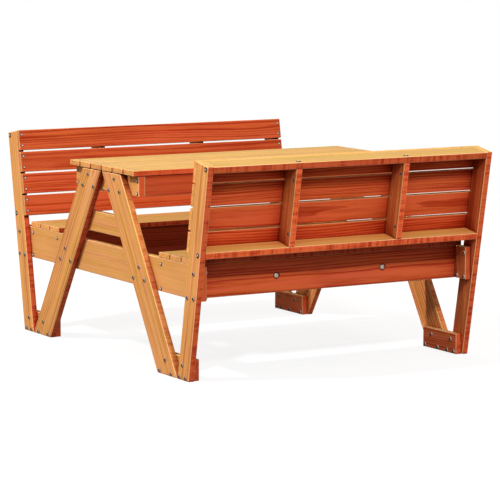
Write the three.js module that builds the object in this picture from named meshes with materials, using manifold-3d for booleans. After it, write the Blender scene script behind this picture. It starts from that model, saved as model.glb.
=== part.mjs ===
// A kids picnic table with a backrest bench along each long side, in millimetres.
// X runs along the boards, Y across the table and Z up. The origin is on the ground, under the table.
// Left is -X, right is +X, front is -Y and back is +Y. Every board is a piece of its own, with the holes that
// its bolts and screws go through.

import * as THREE from 'three';
import { mergeVertices } from 'three/addons/utils/BufferGeometryUtils.js';
import Module from 'manifold-3d';

const wasm = await Module();
wasm.setup();

// Boards
const wideBoardWidth = 90;
const narrowBoardWidth = 57;
const frameBoardThickness = 18;
const slatWidth = 57;
const slatThickness = 14;
const edgeEase = 1.5;
const fitGap = 0.3;

// Table
const tableLength = 890;
const tableHeight = 525;
const tableSlatCount = 6;
const tableSlatGap = 7;
const barEndSetback = 4;

// Legs, which lean in to each other under the tabletop
const legLeanDegrees = 31.8;
const legPeakGap = 11;
const legTopDrop = 2.5;
const tieLap = 26;
const tieRiseShare = 0.31;

// Posts, which lean out and carry the backrests
const postLeanDegrees = 10.1;
const postFootGap = 4;
const footBlockInnerSetback = 2;
const footBlockOuterSetback = 5.5;
const beamEndSetback = 5;

// Seats
const seatHeight = 318.5;
const seatSlatCount = 3;
const seatSlatGap = 4.5;
const seatBackGap = 11;
const seatOverhang = 3.5;
const braceReach = 168.5;

// Backrests
const backSlatCount = 4;
const backSlatWidth = 58.5;
const backSlatGap = 5;
const backrestLift = 6.5;
const railSetback = 2;
const dividerReach = 168.5;

// Screws, with tapered shanks. The slats' and the tie's have flat heads sunk flush.
const screwHeadRadius = 4;
const screwHeadDepth = 2.4;
const screwShankRadius = 2;
const screwTipCover = 2;
const slatScrewBite = 11;
const endScrewBite = 30;

// Frame bolts, each through two boards from a domed head outside to a domed nut inside
const frameBoltRadius = 3;
const holeSides = 6;
const overrun = 5;

// Barrel nuts, sunk in the dividers' left sides. The bolts through the rails end in them.
const barrelNutRadius = 5;
const barrelNutDepth = 14;
const barrelNutSetback = 32;
const railBoltTail = 6;

// Places of the bolts and screws on their boards
const upperRowMargin = 17;
const lowerRowMargin = 7.5;
const barApronRowMargin = 15;
const beamLegRowMargin = 34;
const legBoltSpread = 31;
const legBoltRise = 32.5;
const beamLegShift = 3;
const footLegShift = 6;
const footPostShift = 7.5;
const footPostSpread = 15.5;
const beamPostSpread = 16.5;
const beamPostUpperShift = 5;
const tieScrewFromEnd = 15;
const tieScrewSpread = 14;
const slatScrewSpread = 16;
const railScrewDepth = 11;
const braceScrewSpread = 28;

// Seat bolts, with domed heads in counterbores
const boltHeadRadius = 7;
const boltHeadHeight = 5;
const boltShankRadius = 3;
const boltLength = 60;
const boltSocketRadius = 2;
const boltSocketDepth = 2.5;
const boltSocketSides = 6;
const boltSides = 16;
const domeSteps = 4;
const counterboreMargin = 3;
const counterboreDepth = 3;

// Levels and layers that several pieces share
const legLean = THREE.MathUtils.degToRad(legLeanDegrees);
const postLean = THREE.MathUtils.degToRad(postLeanDegrees);
const halfLength = tableLength / 2;
const layerSeam = halfLength - frameBoardThickness;
const innerFace = layerSeam - frameBoardThickness;
const outerLayer = halfLength - frameBoardThickness / 2;
const innerLayer = layerSeam - frameBoardThickness / 2;
const tableUnderside = tableHeight - slatThickness;
const seatUnderside = seatHeight - slatThickness;
const barBottom = tableUnderside - narrowBoardWidth;
const beamBottom = seatUnderside - wideBoardWidth;
const legTop = tableUnderside - legTopDrop;
const tieRoom = barBottom - seatUnderside - narrowBoardWidth;
const tieMiddle = seatUnderside + narrowBoardWidth / 2 + tieRiseShare * tieRoom;
const tieBottom = tieMiddle - narrowBoardWidth / 2;

// Distance of a leg's or a post's edges from the table's middle line, at a height
const legInner = (height) => legPeakGap / 2 + (legTop - height) * Math.tan(legLean);
const legOuter = (height) => legInner(height) + wideBoardWidth / Math.cos(legLean);
const legMiddle = (height) => (legInner(height) + legOuter(height)) / 2;
const postInner = (height) => legOuter(0) + postFootGap + height * Math.tan(postLean);
const postOuter = (height) => postInner(height) + narrowBoardWidth / Math.cos(postLean);
const postMiddle = (height) => (postInner(height) + postOuter(height)) / 2;

// Lengths and places across the table
const tableHalfWidth = (tableSlatCount * (slatWidth + tableSlatGap) - tableSlatGap) / 2;
const barHalfLength = tableHalfWidth - barEndSetback;
const beamHalfLength = postOuter(beamBottom) - beamEndSetback;
const tieHalfLength = legInner(tieBottom) + tieLap;
const seatOuterEdge = postInner(seatHeight) - seatBackGap;
const seatInnerEdge = seatOuterEdge - seatSlatCount * (slatWidth + seatSlatGap) + seatSlatGap;
const outerApronMiddle = seatOuterEdge - seatOverhang - frameBoardThickness / 2;
const innerApronMiddle = seatInnerEdge + seatOverhang + frameBoardThickness / 2;
const tableApronMiddle = barHalfLength - frameBoardThickness / 2;

// Places along a post's slope, from its outer corner on the ground
const backrestBottom = seatHeight / Math.cos(postLean) + backrestLift;
const backrestHeight = backSlatCount * (backSlatWidth + backSlatGap) - backSlatGap;
const postLength = backrestBottom + backrestHeight;
const topRailMiddle = postLength - frameBoardThickness / 2;
const bottomRailMiddle = backrestBottom + railSetback + frameBoardThickness / 2;

const ends = { left: -1, right: 1 };
const sides = { front: -1, back: 1 };
const woodColors = { frame: 0xdca068, slat: 0xe2ae72, apron: 0xc8804e, backrest: 0xd08a58 };
const steelColor = 0xc4c4c2;

// A solid from a closed geometry, with the flat triangles at a lathe's axis left out
function solidOf(geometry) {
  const bare = new THREE.BufferGeometry();
  bare.setAttribute('position', geometry.getAttribute('position').clone());
  bare.setIndex(geometry.getIndex());
  const merged = mergeVertices(bare);
  const corners = merged.getIndex().array;
  const kept = [];
  for (let i = 0; i < corners.length; i += 3) {
    const triangle = [corners[i], corners[i + 1], corners[i + 2]];
    if (new Set(triangle).size === 3) kept.push(...triangle);
  }
  const vertProperties = new Float32Array(merged.getAttribute('position').array);
  const triVerts = new Uint32Array(kept);
  return new wasm.Manifold(new wasm.Mesh({ numProp: 3, vertProperties, triVerts }));
}

function geometryOf(solid) {
  const { vertProperties, triVerts } = solid.getMesh();
  const geometry = new THREE.BufferGeometry();
  geometry.setAttribute('position', new THREE.BufferAttribute(vertProperties, 3));
  geometry.setIndex(new THREE.BufferAttribute(triVerts, 1));
  geometry.computeVertexNormals();
  return geometry;
}

// The axes that an outline's two directions and its board's thickness lie along
const axisX = new THREE.Vector3(1, 0, 0);
const axisY = new THREE.Vector3(0, 1, 0);
const axisZ = new THREE.Vector3(0, 0, 1);
const facings = {
  x: new THREE.Matrix4().makeBasis(axisY, axisZ, axisX),
  y: new THREE.Matrix4().makeBasis(axisX, axisZ, axisY.clone().negate()),
  z: new THREE.Matrix4(),
};

function rectangle(length, width) {
  return [
    new THREE.Vector2(-length / 2, -width / 2),
    new THREE.Vector2(length / 2, -width / 2),
    new THREE.Vector2(length / 2, width / 2),
    new THREE.Vector2(-length / 2, width / 2),
  ];
}

// A board cut to an outline, with eased edges round both faces
function board(name, outline, facing, thickness, color) {
  const geometry = new THREE.ExtrudeGeometry(new THREE.Shape(outline), {
    depth: thickness - 2 * edgeEase,
    bevelThickness: edgeEase,
    bevelSize: edgeEase,
    bevelOffset: -edgeEase,
    bevelSegments: 1,
  });
  geometry.translate(0, 0, edgeEase - thickness / 2);
  geometry.applyMatrix4(facings[facing]);
  const look = { color, roughness: 0.55, metalness: 0, flatShading: true };
  const mesh = new THREE.Mesh(geometry, new THREE.MeshStandardMaterial(look));
  mesh.name = name;
  return mesh;
}

function addAt(parent, piece, x, y, z) {
  piece.position.set(x, y, z);
  parent.add(piece);
  return piece;
}

// Holes, which are listed while the boards are placed and drilled at the end.
// Each is shaped about the Y axis, with its mouth on a face at zero and its point below.
const holes = new Map();

const acrossCorners = Math.cos(Math.PI / holeSides);
const screwBore = (screwShankRadius + fitGap) / acrossCorners;

// A hole for a flat-headed screw
function sunkHole(length) {
  const mouth = (screwHeadRadius + fitGap) / acrossCorners;
  return new THREE.LatheGeometry([
    new THREE.Vector2(0, -length - fitGap),
    new THREE.Vector2(screwBore, -screwHeadDepth),
    new THREE.Vector2(mouth, 0),
    new THREE.Vector2(mouth, overrun),
    new THREE.Vector2(0, overrun),
  ], holeSides);
}

// A hole for a screw whose domed head stands on the face
function taperedHole(length) {
  return new THREE.LatheGeometry([
    new THREE.Vector2(0, -length - fitGap),
    new THREE.Vector2(screwBore, 0),
    new THREE.Vector2(screwBore, overrun),
    new THREE.Vector2(0, overrun),
  ], holeSides);
}

// A round hole with a flat bottom
function blindHole(radius, depth, sideCount) {
  const bore = (radius + fitGap) / Math.cos(Math.PI / sideCount);
  return new THREE.LatheGeometry([
    new THREE.Vector2(0, -depth),
    new THREE.Vector2(bore, -depth),
    new THREE.Vector2(bore, overrun),
    new THREE.Vector2(0, overrun),
  ], sideCount);
}

// A hole through two boards, for a frame bolt
function throughHole(length) {
  const bore = (frameBoltRadius + fitGap) / acrossCorners;
  const hole = new THREE.CylinderGeometry(bore, bore, length + 2 * overrun, holeSides);
  hole.translate(0, -length / 2, 0);
  return hole;
}

const frameBoltHole = throughHole(2 * frameBoardThickness);
const tieScrewHole = sunkHole(2 * frameBoardThickness - screwTipCover);
const slatScrewHole = sunkHole(slatThickness + slatScrewBite);
const endScrewHole = taperedHole(frameBoardThickness + endScrewBite);
const railBoltReach = frameBoardThickness + barrelNutSetback + railBoltTail;
const railBoltHole = blindHole(frameBoltRadius, railBoltReach, holeSides);
const barrelNutHole = blindHole(barrelNutRadius, barrelNutDepth, boltSides);

// A fastener joins boards: it gets a hole in each of them, at a place and heading in its parent's frame
function fasten(hole, parent, place, heading, boards) {
  for (const pierced of boards) {
    if (!holes.has(pierced)) holes.set(pierced, []);
    holes.get(pierced).push({ hole, parent, place, heading });
  }
}

function drill(pierced, seats) {
  const toBoard = pierced.matrixWorld.clone().invert();
  let solid = solidOf(pierced.geometry);
  for (const { hole, parent, place, heading } of seats) {
    const turn = new THREE.Quaternion().setFromUnitVectors(axisY.clone().negate(), heading);
    const seat = new THREE.Matrix4().compose(place, turn, new THREE.Vector3(1, 1, 1));
    const toPlace = toBoard.clone().multiply(parent.matrixWorld).multiply(seat);
    solid = solid.subtract(solidOf(hole.clone().applyMatrix4(toPlace)));
  }
  pierced.geometry = geometryOf(solid);
}

const table = new THREE.Group();

// One end of the table: an inner layer of level boards and an outer layer of legs and posts
function endFrame(endName, end) {
  const level = (name, length, width, y, z) => {
    const piece = board(name, rectangle(length, width), 'x', frameBoardThickness, woodColors.frame);
    return addAt(table, piece, end * innerLayer, y, z);
  };
  const beamMiddle = beamBottom + wideBoardWidth / 2;
  const barMiddle = barBottom + narrowBoardWidth / 2;
  const crossbeam = level(`crossbeam_${endName}`, 2 * beamHalfLength, wideBoardWidth, 0, beamMiddle);
  const crossbar = level(`crossbar_${endName}`, 2 * barHalfLength, narrowBoardWidth, 0, barMiddle);
  const tie = level(`leg_tie_${endName}`, 2 * tieHalfLength, narrowBoardWidth, 0, tieMiddle);
  for (const [sideName, side] of Object.entries(sides)) {
    const blockInner = legInner(0) + footBlockInnerSetback;
    const blockOuter = postOuter(0) - footBlockOuterSetback;
    const block = level(`foot_block_${endName}_${sideName}`, blockOuter - blockInner, narrowBoardWidth,
      side * (blockInner + blockOuter) / 2, narrowBoardWidth / 2);
    const leg = sloped(`leg_${endName}_${sideName}`, legOutline(side), end);
    const post = sloped(`post_${endName}_${sideName}`, postOutline(side), end);
    boltLeg(end, side, leg, { crossbar, crossbeam, block });
    boltPost(end, side, post, { crossbeam, block });
    screwTie(end, side, tie, leg);
    posts[sideName][endName] = post;
  }
  return { crossbeam, crossbar };
}

function sloped(name, outline, end) {
  const piece = board(name, outline, 'x', frameBoardThickness, woodColors.frame);
  return addAt(table, piece, end * outerLayer, 0, 0);
}

// A leg is cut level at the ground and just under the tabletop
function legOutline(side) {
  return [
    new THREE.Vector2(side * legInner(0), 0),
    new THREE.Vector2(side * legOuter(0), 0),
    new THREE.Vector2(side * legOuter(legTop), legTop),
    new THREE.Vector2(side * legInner(legTop), legTop),
  ];
}

// A post is cut level at the ground and square at its top
function postOutline(side) {
  const onSlope = (along, depth) => new THREE.Vector2(
    side * (postOuter(0) + along * Math.sin(postLean) - depth * Math.cos(postLean)),
    along * Math.cos(postLean) + depth * Math.sin(postLean));
  return [
    new THREE.Vector2(side * postInner(0), 0),
    new THREE.Vector2(side * postOuter(0), 0),
    onSlope(postLength, 0),
    onSlope(postLength, narrowBoardWidth),
  ];
}

// Three bolts from the outer face, one over two
function boltThree(end, side, upper, lower, spread, boards) {
  const heading = axisX.clone().multiplyScalar(-end);
  const places = [
    upper,
    new THREE.Vector2(lower.x - spread, lower.y),
    new THREE.Vector2(lower.x + spread, lower.y),
  ];
  for (const place of places) {
    const seat = new THREE.Vector3(end * halfLength, side * place.x, place.y);
    fasten(frameBoltHole, table, seat, heading, boards);
  }
}

function boltLeg(end, side, leg, { crossbar, crossbeam, block }) {
  const joints = [
    { inner: crossbar, upperRow: tableUnderside - upperRowMargin, shift: 0 },
    { inner: crossbeam, upperRow: seatUnderside - beamLegRowMargin, shift: beamLegShift },
    { inner: block, upperRow: narrowBoardWidth - upperRowMargin, shift: footLegShift },
  ];
  for (const { inner, upperRow, shift } of joints) {
    const lowerRow = upperRow - legBoltRise;
    const across = legMiddle((upperRow + lowerRow) / 2) + shift;
    const upper = new THREE.Vector2(across, upperRow);
    const lower = new THREE.Vector2(across, lowerRow);
    boltThree(end, side, upper, lower, legBoltSpread, [leg, inner]);
  }
}

function boltPost(end, side, post, { crossbeam, block }) {
  const footAcross = postMiddle(narrowBoardWidth / 2) - footPostShift;
  const footUpper = new THREE.Vector2(footAcross, narrowBoardWidth - upperRowMargin);
  const footLower = new THREE.Vector2(footAcross, lowerRowMargin);
  boltThree(end, side, footUpper, footLower, footPostSpread, [post, block]);
  const beamUpperRow = seatUnderside - upperRowMargin;
  const beamLowerRow = beamBottom + lowerRowMargin;
  const beamUpper = new THREE.Vector2(postMiddle(beamUpperRow) + beamPostUpperShift, beamUpperRow);
  const beamLower = new THREE.Vector2(postMiddle(beamLowerRow), beamLowerRow);
  boltThree(end, side, beamUpper, beamLower, beamPostSpread, [post, crossbeam]);
}

// The tie's screws come from under the table, so none shows on the legs
function screwTie(end, side, tie, leg) {
  const heading = axisX.clone().multiplyScalar(end);
  for (const step of [-1, 1]) {
    const across = side * (tieHalfLength - tieScrewFromEnd);
    const seat = new THREE.Vector3(end * innerFace, across, tieMiddle + step * tieScrewSpread);
    fasten(tieScrewHole, table, seat, heading, [tie, leg]);
  }
}

// Two screws at each end of a slat, into the boards that it lies on
function screwSlatEnds(parent, slat, reach, across, heading, carriers) {
  for (const [endName, end] of Object.entries(ends)) {
    for (const step of [-1, 1]) {
      const seat = slat.position.clone();
      seat.x = end * reach;
      seat.addScaledVector(heading, -slatThickness / 2);
      seat.addScaledVector(across, step * slatScrewSpread);
      fasten(slatScrewHole, parent, seat, heading, [slat, carriers[endName]]);
    }
  }
}

// An apron's ends butt against the two level boards, which are screwed to it from outside
function screwApronEnds(apron, rows, carriers) {
  for (const [endName, end] of Object.entries(ends)) {
    for (const row of rows) {
      const seat = new THREE.Vector3(end * layerSeam, apron.position.y, row);
      fasten(endScrewHole, table, seat, axisX.clone().multiplyScalar(-end), [carriers[endName], apron]);
    }
  }
}

function apronBoard(name, width, y, top) {
  const apron = board(name, rectangle(2 * innerFace, width), 'y', frameBoardThickness, woodColors.apron);
  return addAt(table, apron, 0, y, top - width / 2);
}

function tabletop(crossbars) {
  const down = axisZ.clone().negate();
  for (let i = 0; i < tableSlatCount; i += 1) {
    const slat = board(`tabletop_slat_${i + 1}`, rectangle(tableLength, slatWidth), 'z', slatThickness,
      woodColors.slat);
    const y = (slatWidth + tableSlatGap) * (i - (tableSlatCount - 1) / 2);
    addAt(table, slat, 0, y, tableHeight - slatThickness / 2);
    screwSlatEnds(table, slat, innerLayer, axisY, down, crossbars);
  }
  for (const [sideName, side] of Object.entries(sides)) {
    const middle = side * tableApronMiddle;
    const apron = apronBoard(`table_apron_${sideName}`, narrowBoardWidth, middle, tableUnderside);
    const rows = [tableUnderside - barApronRowMargin, barBottom + lowerRowMargin];
    screwApronEnds(apron, rows, crossbars);
  }
}

function seat(sideName, side, crossbeams) {
  const down = axisZ.clone().negate();
  for (let i = 0; i < seatSlatCount; i += 1) {
    const slat = board(`seat_slat_${sideName}_${i + 1}`, rectangle(2 * layerSeam, slatWidth), 'z',
      slatThickness, woodColors.slat);
    const y = side * (seatInnerEdge + slatWidth / 2 + i * (slatWidth + seatSlatGap));
    addAt(table, slat, 0, y, seatHeight - slatThickness / 2);
    screwSlatEnds(table, slat, innerLayer, axisY, down, crossbeams);
  }
  const apron = (place, middle) =>
    apronBoard(`seat_apron_${sideName}_${place}`, wideBoardWidth, side * middle, seatUnderside);
  const outer = apron('outer', outerApronMiddle);
  const inner = apron('inner', innerApronMiddle);
  const rows = [seatUnderside - upperRowMargin, beamBottom + lowerRowMargin];
  screwApronEnds(outer, rows, crossbeams);
  screwApronEnds(inner, rows, crossbeams);
  for (const [endName, end] of Object.entries(ends)) {
    seatBrace(`${sideName}_${endName}`, side, end * braceReach, outer, inner);
  }
}

// A brace stands between the two aprons of a seat, with a bolt at its outer end and screws at its inner end
function seatBrace(place, side, x, outer, inner) {
  const length = outerApronMiddle - innerApronMiddle - frameBoardThickness;
  const brace = board(`seat_brace_${place}`, rectangle(length, wideBoardWidth), 'x', frameBoardThickness,
    woodColors.apron);
  const z = beamBottom + wideBoardWidth / 2;
  addAt(table, brace, x, side * (outerApronMiddle + innerApronMiddle) / 2, z);
  const outerFace = side * (outerApronMiddle + frameBoardThickness / 2);
  fasten(boltHole(), table, new THREE.Vector3(x, outerFace, z), axisY.clone().multiplyScalar(-side),
    [outer, brace]);
  const bolt = seatBolt(`seat_bolt_${place}`);
  bolt.rotation.x = side > 0 ? 0 : Math.PI;
  addAt(table, bolt, x, outerFace - side * (counterboreDepth - fitGap), z);
  const innerSide = side * (innerApronMiddle - frameBoardThickness / 2);
  for (const step of [-1, 1]) {
    fasten(endScrewHole, table, new THREE.Vector3(x, innerSide, z + step * braceScrewSpread),
      axisY.clone().multiplyScalar(side), [inner, brace]);
  }
}

function boltHole() {
  const roundShare = Math.cos(Math.PI / boltSides);
  const bore = (boltShankRadius + fitGap) / roundShare;
  const counterbore = (boltHeadRadius + counterboreMargin) / roundShare;
  return new THREE.LatheGeometry([
    new THREE.Vector2(0, -counterboreDepth - boltLength),
    new THREE.Vector2(bore, -counterboreDepth - boltLength),
    new THREE.Vector2(bore, -counterboreDepth),
    new THREE.Vector2(counterbore, -counterboreDepth),
    new THREE.Vector2(counterbore, overrun),
    new THREE.Vector2(0, overrun),
  ], boltSides);
}

// A bolt stands on the Y axis with its head's underside at zero, and has a six-sided socket
function seatBolt(name) {
  const profile = [
    new THREE.Vector2(0, -boltLength),
    new THREE.Vector2(boltShankRadius, -boltLength),
    new THREE.Vector2(boltShankRadius, 0),
  ];
  for (let i = 0; i <= domeSteps; i += 1) {
    const rise = (Math.PI / 2) * (i / domeSteps);
    profile.push(new THREE.Vector2(boltHeadRadius * Math.cos(rise), boltHeadHeight * Math.sin(rise)));
  }
  profile[profile.length - 1].x = 0;
  const body = solidOf(new THREE.LatheGeometry(profile, boltSides));
  const socketLength = boltSocketDepth + overrun;
  const socketSize = [boltSocketRadius, boltSocketRadius, socketLength, boltSocketSides];
  const socket = new THREE.CylinderGeometry(...socketSize);
  socket.translate(0, boltHeadHeight - boltSocketDepth + socketLength / 2, 0);
  const material = new THREE.MeshStandardMaterial({ color: steelColor, roughness: 0.3, metalness: 1 });
  const bolt = new THREE.Mesh(geometryOf(body.subtract(solidOf(socket))), material);
  bolt.name = name;
  return bolt;
}

// A backrest lies in a frame of its own that leans with the posts: Z runs up their slope from the ground,
// and a depth is measured from their outer edges in towards the table.
function backrest(sideName, side) {
  const slope = new THREE.Group();
  slope.rotation.x = -side * postLean;
  addAt(table, slope, 0, side * postOuter(0), 0);
  const inward = axisY.clone().multiplyScalar(-side);
  for (let i = 0; i < backSlatCount; i += 1) {
    const slat = board(`backrest_slat_${sideName}_${i + 1}`, rectangle(tableLength, backSlatWidth), 'y',
      slatThickness, woodColors.backrest);
    const depth = narrowBoardWidth + fitGap + slatThickness / 2;
    const along = backrestBottom + backSlatWidth / 2 + i * (backSlatWidth + backSlatGap);
    addAt(slope, slat, 0, -side * depth, along);
    screwSlatEnds(slope, slat, outerLayer, axisZ, inward.clone().negate(), posts[sideName]);
  }
  const rail = (place, z) => addAt(slope, board(`backrest_rail_${sideName}_${place}`,
    rectangle(2 * layerSeam, narrowBoardWidth), 'z', frameBoardThickness, woodColors.frame),
  0, -side * narrowBoardWidth / 2, z);
  const top = rail('top', topRailMiddle);
  const bottom = rail('bottom', bottomRailMiddle);
  for (const [endName, end] of Object.entries(ends)) {
    const post = posts[sideName][endName];
    for (const joined of [top, bottom]) {
      const seat = new THREE.Vector3(end * halfLength, -side * railScrewDepth, joined.position.z);
      fasten(endScrewHole, slope, seat, axisX.clone().multiplyScalar(-end), [post, joined]);
    }
    divider(`backrest_divider_${sideName}_${endName}`, slope, side, end * dividerReach, top, bottom);
  }
}

// A divider stands between the two rails. A bolt through each of them ends in a barrel nut in its left side.
function divider(name, slope, side, x, top, bottom) {
  const length = topRailMiddle - bottomRailMiddle - frameBoardThickness - 2 * fitGap;
  const outline = rectangle(narrowBoardWidth, length);
  const upright = board(name, outline, 'x', frameBoardThickness, woodColors.frame);
  const middle = (topRailMiddle + bottomRailMiddle) / 2;
  addAt(slope, upright, x, -side * narrowBoardWidth / 2, middle);
  const topSeat = new THREE.Vector3(x, -side * railScrewDepth, topRailMiddle + frameBoardThickness / 2);
  const bottomSeat = new THREE.Vector3(x, -side * railScrewDepth, bottomRailMiddle - frameBoardThickness / 2);
  fasten(railBoltHole, slope, topSeat, axisZ.clone().negate(), [top, upright]);
  fasten(railBoltHole, slope, bottomSeat, axisZ, [bottom, upright]);
  const nutFace = x - frameBoardThickness / 2;
  const nutReach = length / 2 - barrelNutSetback;
  for (const along of [middle - nutReach, middle + nutReach]) {
    const mouth = new THREE.Vector3(nutFace, -side * railScrewDepth, along);
    fasten(barrelNutHole, slope, mouth, axisX, [upright]);
  }
}

const posts = { front: {}, back: {} };
const leftFrame = endFrame('left', ends.left);
const rightFrame = endFrame('right', ends.right);
tabletop({ left: leftFrame.crossbar, right: rightFrame.crossbar });
for (const [sideName, side] of Object.entries(sides)) {
  seat(sideName, side, { left: leftFrame.crossbeam, right: rightFrame.crossbeam });
  backrest(sideName, side);
}
table.updateMatrixWorld(true);
for (const [pierced, seats] of holes) drill(pierced, seats);

export default table;
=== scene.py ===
"""Finishes for a kids picnic table with two backrest benches.

Every length is in metres and every place is in the table's own frame: X runs along the boards, Y across the
table and Z up, with the origin on the ground under the middle. Left is -X, right is +X, front is -Y and back
is +Y.
"""

import itertools
import math

import bmesh
import bpy
from bpy.props import FloatProperty, FloatVectorProperty, PointerProperty
from mathutils import Euler, Matrix, Vector


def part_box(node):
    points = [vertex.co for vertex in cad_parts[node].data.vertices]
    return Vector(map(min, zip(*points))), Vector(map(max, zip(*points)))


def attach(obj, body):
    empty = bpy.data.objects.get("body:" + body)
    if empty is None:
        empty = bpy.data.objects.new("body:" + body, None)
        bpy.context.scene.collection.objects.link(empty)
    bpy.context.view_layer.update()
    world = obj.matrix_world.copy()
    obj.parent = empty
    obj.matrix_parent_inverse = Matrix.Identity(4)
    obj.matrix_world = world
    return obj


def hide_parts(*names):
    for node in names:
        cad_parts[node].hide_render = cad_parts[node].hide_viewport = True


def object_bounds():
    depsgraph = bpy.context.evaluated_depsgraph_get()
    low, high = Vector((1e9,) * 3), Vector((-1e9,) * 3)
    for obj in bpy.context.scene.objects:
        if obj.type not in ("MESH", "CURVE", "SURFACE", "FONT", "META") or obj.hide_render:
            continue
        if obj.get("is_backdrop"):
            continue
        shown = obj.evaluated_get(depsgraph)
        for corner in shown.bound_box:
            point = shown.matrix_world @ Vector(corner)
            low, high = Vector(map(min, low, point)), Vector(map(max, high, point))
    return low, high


bl_info = {
    "name": "Kids Picnic Table Finishes",
    "version": (1, 0, 0),
    "blender": (4, 5, 0),
    "location": "3D View > Sidebar > Picnic Table",
    "description": "Slats, screws, bolts, wood and studio for a kids picnic table",
    "category": "Object",
}

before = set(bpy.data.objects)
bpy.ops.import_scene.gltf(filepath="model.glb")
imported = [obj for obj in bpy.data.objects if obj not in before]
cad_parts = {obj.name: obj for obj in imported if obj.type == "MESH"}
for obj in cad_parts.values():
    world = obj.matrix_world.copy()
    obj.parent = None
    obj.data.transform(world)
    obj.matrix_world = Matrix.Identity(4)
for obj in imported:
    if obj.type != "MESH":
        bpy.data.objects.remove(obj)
cad_low, cad_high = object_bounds()

ENDS = {"left": -1, "right": 1}
SIDES = {"front": -1, "back": 1}
ALONG, ACROSS, UP = Vector((1, 0, 0)), Vector((0, 1, 0)), Vector((0, 0, 1))
LEG_LEAN = math.radians(31.8)
POST_LEAN = math.radians(10.1)
WIDE_BOARD = 0.090
NARROW_BOARD = 0.057
BACK_SLAT = 0.0585

# Insets of the fasteners in their boards, and depths in from the posts' outer edges
UPPER_INSET = 0.017
LOWER_INSET = 0.0075
BACK_BOLT_DEPTH = 0.011
BACK_SLAT_DEPTH = NARROW_BOARD + 0.0143
SCREW_STEPS = (-0.016, 0.016)

# Colours of the wood's eased edges, rubbed pale and partly a painted highlight, and of the painted shade on
# the steel
RUBBED_EDGE_HIGHLIGHT, RECESS_SHADE = (0.90, 0.50, 0.25), (0.03, 0.017, 0.012)

# What streaks and ring lines multiply the stain by, and the painted shade deep in a bay and at the seams
OCHRE, OLIVE, PINK = (0.96, 1.16, 0.95), (0.92, 0.97, 0.68), (1.06, 0.96, 1.35)
HONEY_LINES, RUSSET_LINES = (0.70, 0.52, 0.40), (0.60, 0.31, 0.25)
DEEP_BAY_SHADE, SEAM_SHADE = (0.34, 0.15, 0.12), (0.42, 0.22, 0.14)

# How near another board has to be for the painted shade: at a seam, in a corner and in a bay
SEAM_REACH, CORNER_REACH, BAY_REACH = 0.007, 0.09, 0.35

# How the camera stands
VIEW_AZIMUTH, VIEW_ELEVATION, VIEW_ROLL = (math.radians(angle) for angle in (-30.56, 7.49, 0.20))
VIEW_DISTANCE = 7.215
VIEW_CENTRE = Vector((0, 0, 0.267))
VIEW_SHIFT = (0.0189, -0.0034)

# What the lamps point at, the tone of the even light, and the share of the floor's colour that it gives back
LAMPS_AIM = Vector((0, 0, 0.3))
WARM, WHITE = (1.0, 0.9, 0.84), (1.0, 1.0, 1.0)
FLOOR_BOUNCE = 0.18

# Levels and faces, taken from the boards themselves
beam_low, beam_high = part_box("crossbeam_left")
bar_low, bar_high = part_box("crossbar_left")
leg_low, leg_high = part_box("leg_left_back")
post_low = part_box("post_left_back")[0]
END_FACE = cad_high.x
SEAM_FACE = -beam_low.x
INNER_FACE = -beam_high.x
TABLE_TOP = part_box("tabletop_slat_1")[1].z
SEAT_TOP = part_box("seat_slat_back_1")[1].z
TABLE_UNDERSIDE = bar_high.z
SEAT_UNDERSIDE = beam_high.z


def leg_middle(height):
    """Distance of a leg's centre line from the table's middle line, at a height."""
    return leg_low.y + (leg_high.z - height) * math.tan(LEG_LEAN) + WIDE_BOARD / 2 / math.cos(LEG_LEAN)


def post_middle(height):
    """Distance of a post's centre line from the table's middle line, at a height."""
    return post_low.y + height * math.tan(POST_LEAN) + NARROW_BOARD / 2 / math.cos(POST_LEAN)


POST_HEEL = post_low.y + NARROW_BOARD / math.cos(POST_LEAN)


def on_slope(side, x, depth, along):
    """A place on a bench's leaning back, by its depth from the posts' outer edges and its way up them."""
    y = POST_HEEL + along * math.sin(POST_LEAN) - depth * math.cos(POST_LEAN)
    return Vector((x, side * y, along * math.cos(POST_LEAN) + depth * math.sin(POST_LEAN)))


def along_slope(node):
    """How far up a post's slope the middle of a back bench's board is."""
    low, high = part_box(node)
    place = (low + high) / 2
    return (place.y - POST_HEEL) * math.sin(POST_LEAN) + place.z * math.cos(POST_LEAN)


def slope_up(side):
    """The direction up a post's slope."""
    return Vector((0, side * math.sin(POST_LEAN), math.cos(POST_LEAN)))


def slope_out(side):
    """The direction square to a bench's back, away from the table."""
    return Vector((0, side * math.cos(POST_LEAN), -math.sin(POST_LEAN)))


class WoodSettings(bpy.types.PropertyGroup):
    """The stained softwood."""

    # Painted light and shade: the stain's colour goes by which way a face looks, standing in for how the
    # light falls, honey up and down, amber along and russet across the table
    honey: FloatVectorProperty(
        name="Honey", description="Stain on faces that look up or down",
        subtype="COLOR", size=3, min=0, max=1, default=(0.49, 0.30, 0.082))
    amber: FloatVectorProperty(
        name="Amber", description="Stain on faces that look along the table",
        subtype="COLOR", size=3, min=0, max=1, default=(0.78, 0.366, 0.112))
    russet: FloatVectorProperty(
        name="Russet", description="Stain on faces that look across the table",
        subtype="COLOR", size=3, min=0, max=1, default=(0.69, 0.118, 0.037))
    late_wood: FloatProperty(
        name="Late wood", description="How much the rings' dark lines deepen the stain",
        subtype="FACTOR", min=0, max=1, default=0.75)
    # Painted shade: what sheltered places multiply the stain by
    shaded: FloatVectorProperty(
        name="Shaded", description="What sheltered places multiply the stain by",
        subtype="COLOR", size=3, min=0, max=1, default=(0.52, 0.155, 0.125))
    ring_spacing: FloatProperty(
        name="Ring spacing", description="Width of one growth ring",
        unit="LENGTH", min=0.001, max=0.03, default=0.0046, precision=4)
    # Partly wear and partly a painted highlight on the eased edges
    edge_wear_and_highlight: FloatProperty(
        name="Edge wear", description="How pale the eased edges have rubbed",
        subtype="FACTOR", min=0, max=1, default=0.7)


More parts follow.
